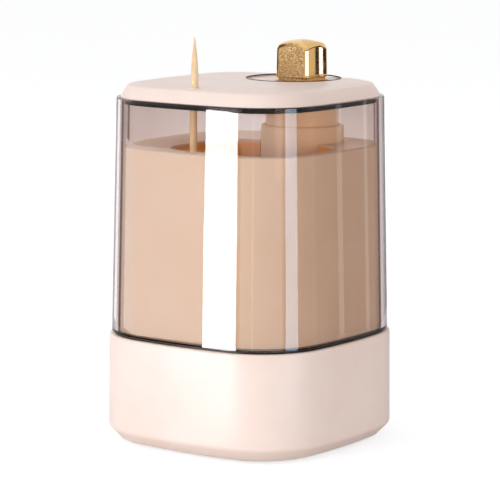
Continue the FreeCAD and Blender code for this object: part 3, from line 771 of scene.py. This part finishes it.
def pick_wood():
    """Pale birch: long fibres down the pick with a few darker ones."""
    material, tree, shader = new_finish("pale birch")
    fibre = noise(tree, 4200, 4, object_place(tree, (1, 1, 0.035)), 0.6)
    fleck = noise(tree, 1500, 3, object_place(tree, (1, 1, 0.12)))
    streak = spread(tree, fibre, 0, 1, 0.3, 0.7)
    body = blended(tree, streak, shade(229, 190, 140), shade(248, 222, 184))
    darker = spread(tree, fleck, 0, 0.5, 0.58, 0.75)
    tree.links.new(blended(tree, darker, body, shade(196, 148, 96)), shader.inputs["Base Color"])
    tree.links.new(spread(tree, fibre, 0.5, 0.7), shader.inputs["Roughness"])
    raised(tree, shader, fibre, 0.03 * MM)
    return material


finishes = {
    "cream_shell": moulded_plastic("cream plastic", shade(246, 228, 219), shade(242, 222, 212),
                                   smooth=0.4, rough=0.52, grain=3200, grain_depth=0.006 * MM,
                                   gloss=0.28),
    "cream_inner": moulded_plastic("inner cream plastic", shade(232, 214, 204),
                                   shade(222, 203, 192),
                                   smooth=0.5, rough=0.62, grain=1800, grain_depth=0.02 * MM),
    "clear_plastic": clear_plastic(),
    "tan_plastic": moulded_plastic("tan plastic", shade(237, 211, 182), shade(233, 205, 175),
                                   smooth=0.38, rough=0.5, grain=2600, grain_depth=0.003 * MM,
                                   # Painted shade: a deeper orange in the bin.
                                   bin_shade_colour=shade(255, 174, 58),
                                   # Painted light: a paler tan on the column.
                                   column_light_colour=shade(255, 226, 188)),
    "grey_plastic": moulded_plastic("grey plastic", shade(168, 168, 170), shade(150, 150, 153),
                                    smooth=0.45, rough=0.6, grain=2000, grain_depth=0.02 * MM),
    "black_rubber": black_rubber(),
    "gold_metal": gold_metal(),
    "steel": steel(),
    "pick_wood": pick_wood(),
}


# ---------- base
def base_tub():
    """Cream tub with its deck, its soft lower edge, screw posts and holes."""
    inner = base_rim_reach - base_wall
    deck_under = base_top - base_deck
    mouth = plate_reach + plate_gap
    piece = skin("base_tub", body_outline, softened([
        (core_reach, base_top, 0),
        (base_rim_reach, base_top, base_top_round),
        (body_reach, base_bottom + base_chamfer_rise, base_chamfer_round),
        (base_chamfer_reach, base_bottom + base_chamfer_foot, base_chamfer_round),
        (base_foot_reach, base_bottom, base_foot_round),
        (mouth, base_bottom, soft),
        (mouth, plate_top, 0),
        (inner, plate_top, fine),
        (inner, deck_under, base_inner_round),
        (core_reach, deck_under, 0)], closed=False, steps=8))
    for x, y in base_screws:
        post(piece, x, y, base_boss_radius, plate_top, deck_under + base_deck / 2)
        drill(piece, [(x, y)], screw_hole, plate_top - over, plate_top + screw_depth)
    under, above = deck_under - over, base_top + over
    drill(piece, shell_screws + housing_screws, screw_hole, under, above)
    drill(piece, pick_place, lifter_room, under, above, post_points)
    drill(piece, button_place, stem_room, under, above, post_points)
    dress(piece, "base", "cream_shell", "base_shell")


def black_gasket():
    """Thin black ring between the base and the sleeve."""
    piece = skin("black_gasket", body_outline, softened([
        (sleeve_foot_reach - sleeve_lip_width, base_top, 0),
        (sleeve_foot_reach - gasket_inset, base_top, fine),
        (sleeve_foot_reach - gasket_inset, sleeve_bottom, fine),
        (sleeve_foot_reach - sleeve_lip_width, sleeve_bottom, 0)], steps=4), closed=True)
    dress(piece, "base", "black_rubber", "sleeve_gasket")


# ---------- sleeve and bin
def sleeve_tube():
    """Clear tapered tube with a lip inside its foot."""
    foot = sleeve_foot_reach - sleeve_lip_width
    lip_top = sleeve_bottom + sleeve_lip
    piece = skin("sleeve_tube", body_outline, softened([
        (sleeve_foot_reach, sleeve_bottom, sleeve_foot_round),
        (sleeve_rim_reach, sleeve_top, sleeve_rim_round),
        (sleeve_rim_reach - sleeve_wall, sleeve_top, sleeve_rim_round),
        (sleeve_outer(lip_top) - sleeve_wall, lip_top, 0.03 * MM),
        (foot, lip_top, crisp),
        (foot, sleeve_bottom, crisp)], steps=5), closed=True)
    dress(piece, "base", "clear_plastic", "clear_sleeve")


def bin_tub():
    """Tan tub in the sleeve: outer wall on the sleeve's lip, deck, and the bin with its mouth."""
    deck_under = deck_top - deck_thickness
    skirt_bottom = sleeve_bottom + sleeve_lip + hairline
    piece = skin("bin_tub", body_outline, softened([
        (core_reach, deck_top, 0),
        (bin_outer(deck_top), deck_top, deck_round),
        (bin_outer(skirt_bottom), skirt_bottom, hairline),
        (bin_outer(skirt_bottom) - bin_skirt, skirt_bottom, hairline),
        (bin_outer(skirt_bottom) - bin_skirt, bin_floor, 0),
        (bin_outer(bin_floor) - bin_wall, bin_floor, hairline),
        (bin_outer(deck_under) - bin_wall, deck_under, deck_under_round),
        (core_reach, deck_under, 0)], closed=False, steps=6))
    mouth = block(mouth_left, mouth_right, mouth_front, mouth_back, mouth_corner)
    carve(piece, bar(mouth, mouth_wall, bin_floor, deck_under + deck_thickness / 2), "UNION")
    for x, y in shell_screws:
        post(piece, x, y, shell_boss_radius, bin_floor, bin_floor + shell_boss_height)
        drill(piece, [(x, y)], screw_hole, bin_floor - over, bin_floor + screw_depth + over)
    carve(piece, opening(mouth, 0, bin_floor - over, deck_top, mouth_soft))
    hole_radius = housing_radius + housing_hole_gap
    carve(piece, opening(column_outline, hole_radius, bin_floor - over, deck_top, fine))
    guide_front = low("lifter_guide").y - hairline
    recess = block(-guide_room, guide_room, guide_front, mouth_front + over, soft, 3)
    carve(piece, bar(recess, 0, bin_floor - over, guide_top + crisp))
    slot_end = mouth_front + 3 * over
    slot = block(-lifter_room, lifter_room, pick.y - lifter_room, slot_end, lifter_room)
    carve(piece, opening(slot, 0, guide_top - over, deck_top, slot_soft))
    dress(piece, "base", "tan_plastic", "bin_shell")


def housing_column():
    """Lower, wider tier of the column."""
    piece = skin("housing_column", column_outline, softened([
        (housing_bore, bin_floor, 0),
        (housing_radius, bin_floor, soft),
        (housing_radius, housing_top, housing_round),
        (socket_radius, housing_top, soft),
        (socket_radius, socket_floor, soft),
        (housing_bore, socket_floor, soft)]), closed=True)
    drill(piece, housing_screws, screw_hole, bin_floor - over, bin_floor + screw_depth)
    dress(piece, "base", "tan_plastic", "rod_housing")


def column_tube():
    """Upper tier of the column, which hangs from the lid by two ears."""
    piece = skin("column_tube", column_outline, softened([
        (stem_bore, tube_bottom, fine),
        (tube_radius, tube_bottom, tube_round),
        (tube_radius, tube_top, 0),
        (tube_bore, tube_top, 0),
        (tube_bore, tube_web_top, tube_bore_round),
        (stem_bore, tube_web_top, fine)]), closed=True)
    plan = block(button.x - ear_reach, button.x + ear_reach, button.y - ear_half_width,
                 button.y + ear_half_width, ear_half_width - crisp)
    ears = bar(plan, 0, tube_top - ear_thickness, tube_top)
    drill(ears, button_place, (tube_radius + tube_bore) / 2, tube_web_top, tube_top + over,
          column_points)
    carve(piece, ears, "UNION")
    drill(piece, ear_screws, ear_screw_hole, tube_top - 3 * over, tube_top + over)
    dress(piece, "lid", "tan_plastic", "guide_tube")


# ---------- lid
def lid_cover():
    """Cream lid with its soft shoulder, plug, pad, bezel recess and holes."""
    piece = skin("lid_cover", body_outline, softened([
        (core_reach, lid_top, 0),
        (lid_flat_reach, lid_flat, lid_flat_round),
        (lid_brow_reach, lid_brow, lid_brow_round),
        (lid_cheek_reach, lid_cheek, lid_cheek_round),
        (lid_foot_reach, lid_bottom, neat),
        (plug_reach, lid_bottom, 0),
        (plug_reach, plug_bottom, fine),
        (plug_reach - plug_wall, plug_bottom, fine),
        (plug_reach - plug_wall, lid_under, soft),
        (core_reach, lid_under, 0)], closed=False, steps=12))
    pad_plan = block(bezel.x - pad_reach, pad_right, button.y - pad_reach, button.y + pad_reach,
                     pad_reach - crisp, 24)
    pad = bar(pad_plan, 0, tube_top, lid_under + over)
    inside = bar(body_outline, plug_reach - plug_wall / 2, tube_top - over, lid_top)
    carve(pad, inside, "INTERSECT")
    carve(piece, pad, "UNION")
    carve(piece, opening(disc_outline, bezel_radius + bezel_gap, bezel_seat, lid_top, neat))
    carve(piece, bar(knob_hole(), knob_hole_gap, tube_top - over, lid_top + over))
    drill(piece, pick_place, outlet_flange + outlet_flange_gap, plug_bottom - over, lid_under,
          post_points)
    outlet_hole = outlet_radius + hairline
    carve(piece, opening(outlet_outline, outlet_hole, lid_under - over, lid_top, crisp))
    drill(piece, ear_screws, ear_screw_hole, tube_top - over, tube_top + ear_screw_depth)
    dress(piece, "lid", "cream_shell", "lid_shell")


def knob_hole():
    """Outline of the square hole that the knob goes through."""
    return block(button.x - knob_half_x, button.x + knob_half_x,
                 button.y - knob_half_y, button.y + knob_half_y, knob_hole_corner)


def rim_seal():
    """Black ring round the plug."""
    inner = plug_reach + seal_inset
    inside = sleeve_wall + seal_gap
    piece = skin("rim_seal", body_outline, softened([
        (inner, plug_bottom, fine),
        (sleeve_outer(plug_bottom) - inside, plug_bottom, soft),
        (sleeve_outer(lid_bottom) - inside, lid_bottom, soft),
        (inner, lid_bottom, fine)], steps=5), closed=True)
    dress(piece, "lid", "black_rubber", "lid_seal")


def bezel_disc():
    """Round disc let into the lid, with the knob's square hole."""
    piece = skin("bezel_disc", disc_outline, softened([
        (bezel_core, bezel_top, 0),
        (bezel_radius, bezel_top, bezel_round),
        (bezel_radius, bezel_seat, crisp),
        (bezel_core, bezel_seat, 0)], closed=False))
    carve(piece, opening(knob_hole(), knob_hole_gap, bezel_seat - over, bezel_top, bezel_hole_soft))
    dress(piece, "lid", "cream_shell", "button_bezel")


def bezel_shade_ring():
    """Fine black ring where the disc's recess starts, standing in for the shaded edge of the
    recess: painted shade.
    """
    inner = bezel_radius + bezel_gap
    top = lid_top + bezel_shade_ring_rise
    piece = skin("bezel_shade_ring", disc_outline, softened([
        (inner, lid_top - bezel_shade_ring_depth, 0),
        (inner + bezel_shade_ring_width, lid_top - bezel_shade_ring_depth, 0),
        (inner + bezel_shade_ring_width, top, bezel_shade_ring_round),
        (inner, top, bezel_shade_ring_round)], steps=3), closed=True)
    dress(piece, "lid", "black_rubber", "button_bezel")


def outlet_liner():
    """Liner of the outlet, its flange under the lid."""
    flange_bottom = lid_under - outlet_flange_height
    piece = skin("outlet_liner", outlet_outline, softened([
        (outlet_bore, flange_bottom, neat),
        (outlet_flange, flange_bottom, fine),
        (outlet_flange, lid_under, 0),
        (outlet_radius, lid_under, 0),
        (outlet_radius, lid_top, neat),
        (outlet_bore, lid_top, fine)], steps=4), closed=True)
    dress(piece, "lid", "cream_shell", "outlet_bush")


# ---------- knob, springs and pick
def gold_knob():
    """Square knob with slightly bowed sides, a crowned top, a narrower foot and a skirt."""
    half = knob_half_y
    stretch = knob_half_x / knob_half_y
    face = half - knob_face_inset
    plan = bowed_square(half, knob_side_radius, knob_edge_round, 10, 12)
    reach_of_corner = math.hypot(knob_half_x, knob_half_y)

    def crown(x, y):
        """Height of the crowned top at a place seen from the knob's axis."""
        return knob_top - knob_crown * (x * x + y * y) / reach_of_corner ** 2

    def ring(points, height):
        """Adds a ring of points round the knob's axis, each at its height."""
        rings.append([form.verts.new((button.x + x, button.y + y, height(x, y)))
                      for x, y in points])

    form = bmesh.new()
    rings = []
    bottom = low("button_cap").z
    foot = half - knob_foot_inset
    bead_top = knob_foot_top + knob_bead
    for reach, z in softened([(half - over, bottom, 0),
                              (foot, bottom, soft),
                              (foot, knob_foot_top, crisp),
                              (half + knob_bead_reach, knob_foot_top, knob_bead_round),
                              (half + knob_bead_reach, bead_top, knob_bead_round),
                              (face, bead_top, hairline),
                              (face, bead_top + crisp, 0)], closed=False, steps=6):
        ring([(x * stretch, y) for x, y in plan(reach)], lambda x, y: z)
    for step in range(9):
        angle = QUARTER * step / 8
        inset = knob_soft * (1 - math.cos(angle))
        drop = knob_soft * (1 - math.sin(angle))
        ring([(x * stretch, y) for x, y in plan(face - knob_draft - inset)],
             lambda x, y: crown(x, y) - drop)
    rim = [(v.co.x - button.x, v.co.y - button.y) for v in rings[-1]]
    for step in range(1, 12):
        ring([(x * (1 - step / 12), y * (1 - step / 12)) for x, y in rim], crown)
    for lower, upper in zip(rings, rings[1:]):
        band(form, lower, upper)
    form.faces.new(rings[0])
    peak = form.verts.new((button.x, button.y, knob_top))
    for number, corner in enumerate(rings[-1]):
        form.faces.new((corner, rings[-1][(number + 1) % len(rim)], peak))
    piece = object_of("gold_knob", form)
    drill(piece, button_place, knob_bore, bottom - over, bottom + knob_bore_depth, post_points)
    dress(piece, "button", "gold_metal", "button_cap", sharp=30)


def coil(name, node, body, wire, turns):
    """Compression spring with closed ends."""
    centre = middle(node)
    z0, z1 = low(node).z, high(node).z
    radius = (high(node).x - low(node).x) / 2 - wire
    dead = 0.9
    whole = turns + 2 * dead
    steps = int(whole * 28)
    form = bmesh.new()
    rings = []
    rise = z1 - z0 - 2 * wire - 4 * dead * wire
    for step in range(steps + 1):
        wound = whole * step / steps
        live = min(max(wound - dead, 0), turns)
        closed = min(wound, dead) + max(wound - dead - turns, 0)
        z = z0 + wire + 2 * wire * closed + rise * live / turns
        angle = 4 * QUARTER * wound
        outwards = Vector((math.cos(angle), math.sin(angle), 0))
        heart = Vector((centre.x, centre.y, z)) + outwards * radius
        ring = []
        for number in range(10):
            around = 4 * QUARTER * number / 10
            ring.append(form.verts.new(heart + outwards * (wire * math.cos(around))
                                       + Vector((0, 0, wire * math.sin(around)))))
        rings.append(ring)
    for ring, following in zip(rings, rings[1:]):
        band(form, ring, following)
    form.faces.new(rings[0])
    form.faces.new(rings[-1])
    piece = dress(object_of(name, form), body, "steel", node, sharp=60)
    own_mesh(piece)


def wooden_pick():
    """Round pick, sharp above and blunt below."""
    radius = (high("toothpick").x - low("toothpick").x) / 2
    foot, tip = low("toothpick").z, high("toothpick").z
    profile = [(pick_end_radius, foot), (pick_blunt_radius, foot + pick_blunt_height)]
    for step in range(1, 9):
        share = step / 8
        swell = (radius - pick_blunt_radius) * math.sin(QUARTER * share)
        profile.append((pick_blunt_radius + swell, foot + pick_swell_height * share))
    for step in range(17):
        share = step / 16
        reach = radius * (1 - share ** pick_point_power) + pick_point_radius * share
        profile.append((max(reach, pick_tip_radius), tip - pick_point_length * (1 - share)))
    piece = skin("wooden_pick", circle(pick.x, pick.y, pick_points), profile)
    dress(piece, "pick", "pick_wood", "toothpick", sharp=50)


# ---------- nodes that keep their CAD mesh
def dress_cad_nodes():
    """Every shown CAD node gets the finish of its slot in the record."""
    slots = {part["node"]: part["material_slot"] for part in frame["record"]["subparts"]}
    for name, node in frame["nodes"].items():
        node.data.materials.clear()
        node.data.materials.append(finishes[slots[name]])


# ---------- set, lamps and camera
sky_colour = (0.49, 0.50, 0.52, 1.0)
floor_reach = 6.0
floor_light = (0.80, 0.79, 0.785, 1.0)
floor_pale = (0.82, 0.815, 0.81, 1.0)
floor_seen = (0.45, 0.45, 0.45, 1.0)
floor_glow = (0.69, 0.69, 0.69, 1.0)
camera_place = (0.46734, -0.65645, 0.17842)
camera_tilt = 81.4125
camera_turn = 35.44
camera_roll = 0.183

warm = (1.0, 0.97, 0.93, 1.0)
sunny = (1.0, 0.95, 0.9, 1.0)
amber = (1.0, 0.9, 0.85, 1.0)
cool = (0.85, 1.0, 1.9, 1.0)

# Name, place, aim, width, height, power and colour
lamps = (
    ("key", (-0.26, -0.95, 0.2), (0, 0, 0.05), 0.5, 0.36, 4.0, (1.0, 0.99, 0.985)),
    ("fill", (0.97, -0.33, 0.18), (0, 0, 0.05), 0.5, 0.36, 2.35, (1.0, 0.855, 0.735)),
    ("top", (-0.3, -0.1, 1.1), (0, 0, 0.05), 0.7, 0.7, 2.85, (1.0, 0.97, 0.97)),
    ("back", (-0.5, 0.8, 0.3), (0, 0, 0.09), 0.5, 0.3, 0.9, (1.0, 0.98, 0.96)),
)

# Name, start and end in degrees, radius, bottom, top, colour and strength
sleeve_cards = (
    ("dark surround", -184, 65, 0.25, 0.0, 0.38, amber, 0.12),
    ("dark right flag", 65, 128, 0.25, 0.0, 0.095, amber, 0.14),
    ("left edge panel", -196, -184, 0.245, 0.0, 0.095, (1.0, 0.95, 0.95, 1.0), 3.0),
    ("left panel", -160, -114, 0.245, 0.0032, 0.074, (0.95, 1.0, 1.02, 1.0), 6.0),
    ("front panel", -85, -25, 0.245, 0.0032, 0.09, (0.85, 1.0, 1.05, 1.0), 4.0),
    ("front line", -68.3, -65.5, 0.244, 0.0, 0.09, white, 7.0),
    ("side line", 44.5, 46.5, 0.244, 0.0, 0.09, white, 1.8),
    ("side line two", 55.8, 57.2, 0.244, 0.0, 0.09, white, 1.5),
)
knob_cards = (
    ("knob glow", -133, -76, 0.06, 0.1008, 0.2, warm, 0.84),
    ("knob left edge light", -139, -133, 0.06, 0.1008, 0.2, warm, 2.4),
    ("knob left edge flag", -196, -128, 0.24, 0.094, 0.16, white, 0.02),
    ("knob sky", -76, 110, 0.06, 0.13, 0.2, (1.0, 0.98, 0.95, 1.0), 0.85),
    ("knob dark", 34, 64, 0.245, 0.094, 0.14, white, 0.03),
    ("knob front strip", -72, 34, 0.24, 0.096, 0.12, cool, 2.2),
    ("knob right glow", 38, 53.5, 0.24, 0.094, 0.14, sunny, 0.75),
    ("knob right strip", 56.5, 59, 0.24, 0.094, 0.12, cool, 2.6),
    ("knob right edge", 62.5, 90, 0.24, 0.094, 0.14, sunny, 0.75),
)

# Name, path in plan, bottom, top, colour and strength
strips = (
    ("left strip", ((-0.092, -0.208), (-0.001, -0.233)), 0.0, 0.0905, (1.0, 0.98, 1.0, 1.0), 50.0),
    ("right strip", ((0.223, -0.083), (0.232, -0.007)), 0.0, 0.1, (0.68, 1.0, 1.25, 1.0), 13.0),
)


def pale_world():
    """White where it is seen directly, mirrored or through clear plastic, and softer as light."""
    world = bpy.data.worlds.new("pale studio")
    bpy.context.scene.world = world
    world.use_nodes = True
    tree = world.node_tree
    tree.nodes.clear()
    output = tree.nodes.new("ShaderNodeOutputWorld")
    background = tree.nodes.new("ShaderNodeBackground")
    seen = seen_by(tree, "Is Camera Ray", "Is Glossy Ray", "Is Transmission Ray")
    tree.links.new(blended(tree, seen, sky_colour, white), background.inputs["Color"])
    tree.links.new(background.outputs[0], output.inputs[0])


def pale_floor():
    """Wide matt floor that reads as white and keeps the object's soft shadow."""
    form = bmesh.new()
    corners = ((-1, -1), (1, -1), (1, 1), (-1, 1))
    form.faces.new([form.verts.new((x * floor_reach, y * floor_reach, 0)) for x, y in corners])
    floor = object_of("floor", form)
    material, tree, shader = new_finish("pale floor")
    material.cycles.emission_sampling = "NONE"
    surface = placed(tree, moulded, Grain=400, Cloud=3)
    shader.inputs["Roughness"].default_value = 0.9
    seen = seen_by(tree, "Is Camera Ray", "Is Transmission Ray")
    lit = blended(tree, surface["Tone"], floor_light, floor_pale)
    tree.links.new(blended(tree, seen, lit, floor_seen), shader.inputs["Base Color"])
    tree.links.new(blended(tree, seen, black, floor_glow), shader.inputs["Emission Color"])
    shader.inputs["Emission Strength"].default_value = 1.0
    floor.data.materials.append(material)


def card(name, path, z0, z1, colour, strength):
    """Upright studio card along a path in plan, seen only in reflections."""
    form = bmesh.new()
    lower = [form.verts.new((x, y, z0)) for x, y in path]
    upper = [form.verts.new((x, y, z1)) for x, y in path]
    for number in range(len(path) - 1):
        form.faces.new((lower[number], lower[number + 1], upper[number + 1], upper[number]))
    piece = object_of(name, form)
    material = bpy.data.materials.new(name)
    material.use_nodes = True
    tree = material.node_tree
    tree.nodes.clear()
    output = tree.nodes.new("ShaderNodeOutputMaterial")
    glow = tree.nodes.new("ShaderNodeEmission")
    glow.inputs["Color"].default_value = colour
    glow.inputs["Strength"].default_value = strength
    tree.links.new(glow.outputs[0], output.inputs[0])
    material.cycles.emission_sampling = "NONE"
    piece.data.materials.append(material)
    piece.visible_camera = False
    piece.visible_diffuse = False
    piece.visible_transmission = False
    piece.visible_shadow = False


def curved_card(name, start, end, radius, z0, z1, colour, strength):
    """Studio card along an arc round the object, from start to end in degrees."""
    steps = max(int(abs(end - start) / 4), 3)
    path = arc((0, 0), radius, math.radians(start), math.radians(end), steps)
    path.append((radius * math.cos(math.radians(end)), radius * math.sin(math.radians(end))))
    card(name, path, z0, z1, colour, strength)


def lamp(name, place, aim, width, height, power, colour):
    """Soft rectangular lamp."""
    light = bpy.data.lights.new(name, "AREA")
    light.shape = "RECTANGLE"
    light.size = width
    light.size_y = height
    light.energy = power
    light.color = colour
    piece = bpy.data.objects.new(name, light)
    bpy.context.scene.collection.objects.link(piece)
    piece.location = place
    piece.rotation_euler = (Vector(aim) - Vector(place)).to_track_quat("-Z", "Y").to_euler()
    piece.visible_glossy = False


def camera():
    """Long lens that looks a little down on the front right."""
    lens = bpy.data.cameras.new("camera")
    lens.lens = 195.82
    lens.sensor_width = 36.0
    lens.shift_x = -0.0015
    lens.clip_start = 0.01
    lens.clip_end = 30.0
    piece = bpy.data.objects.new("camera", lens)
    bpy.context.scene.collection.objects.link(piece)
    piece.location = camera_place
    level = Euler((math.radians(camera_tilt), 0, math.radians(camera_turn))).to_matrix()
    roll = Euler((0, 0, math.radians(camera_roll))).to_matrix()
    piece.rotation_euler = (level @ roll).to_euler()
    bpy.context.scene.camera = piece


# ---------- putting it together
for make in (base_tub, black_gasket, sleeve_tube, bin_tub, housing_column, column_tube, lid_cover,
             rim_seal, bezel_disc, bezel_shade_ring, outlet_liner, gold_knob, wooden_pick):
    make()
coil("knob_spring", "button_spring", "lid", wire=0.45 * MM, turns=5)
coil("lever_coil", "lever_spring", "base", wire=0.4 * MM, turns=6)
dress_cad_nodes()

bpy.context.scene.view_settings.view_transform = "Standard"
pale_world()
pale_floor()
for row in lamps:
    lamp(*row)
for row in sleeve_cards + knob_cards:
    curved_card(*row)
for row in strips:
    card(*row)
camera()
